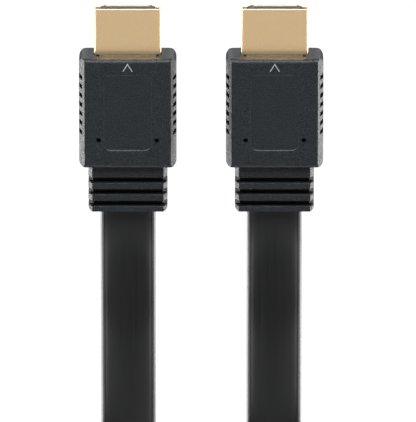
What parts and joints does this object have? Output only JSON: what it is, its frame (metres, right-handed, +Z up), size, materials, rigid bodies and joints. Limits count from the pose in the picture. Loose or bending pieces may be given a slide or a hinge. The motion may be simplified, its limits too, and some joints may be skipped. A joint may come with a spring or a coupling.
{
  "type": "hdmi cable",
  "caption": "Flat dark video cable with a moulded D-shaped plug on each end, gold-plated shells and ribbed strain reliefs, the spare length tied in a hank.",
  "frame": {"origin": "on the floor, midway between the two plugs and midway along their length, tip to strain relief end", "axes": "+X from plug a to plug b, +Y towards the plugs' tips, +Z up out of their wide faces"},
  "size_m": [0.0918, 0.3108, 0.0168],
  "materials": {
    "overmould": "fine spark-eroded grain",
    "shell": "satin gold plate",
    "insulator": "smooth",
    "contacts": "bright gold plate",
    "jacket": "smooth satin",
    "tie": "woven hook-and-loop"
  },
  "bodies": {
    "root": {"plug_a_overmould": "overmould", "plug_a_shell": "shell", "plug_a_insulator": "insulator", "plug_a_contact_01": "contacts", "plug_a_contact_02": "contacts", "plug_a_contact_03": "contacts", "plug_a_contact_04": "contacts", "plug_a_contact_05": "contacts", "plug_a_contact_06": "contacts", "plug_a_contact_07": "contacts", "plug_a_contact_08": "contacts", "plug_a_contact_09": "contacts", "plug_a_contact_10": "contacts", "plug_a_contact_11": "contacts", "plug_a_contact_12": "contacts", "plug_a_contact_13": "contacts", "plug_a_contact_14": "contacts", "plug_a_contact_15": "contacts", "plug_a_contact_16": "contacts", "plug_a_contact_17": "contacts", "plug_a_contact_18": "contacts", "plug_a_contact_19": "contacts", "plug_b_overmould": "overmould", "plug_b_shell": "shell", "plug_b_insulator": "insulator", "plug_b_contact_01": "contacts", "plug_b_contact_02": "contacts", "plug_b_contact_03": "contacts", "plug_b_contact_04": "contacts", "plug_b_contact_05": "contacts", "plug_b_contact_06": "contacts", "plug_b_contact_07": "contacts", "plug_b_contact_08": "contacts", "plug_b_contact_09": "contacts", "plug_b_contact_10": "contacts", "plug_b_contact_11": "contacts", "plug_b_contact_12": "contacts", "plug_b_contact_13": "contacts", "plug_b_contact_14": "contacts", "plug_b_contact_15": "contacts", "plug_b_contact_16": "contacts", "plug_b_contact_17": "contacts", "plug_b_contact_18": "contacts", "plug_b_contact_19": "contacts", "cable_leg_a": "jacket", "cable_hank": "jacket", "cable_leg_b": "jacket", "hank_tie_left": "tie", "hank_tie_right": "tie"}
  },
  "joints": []
}
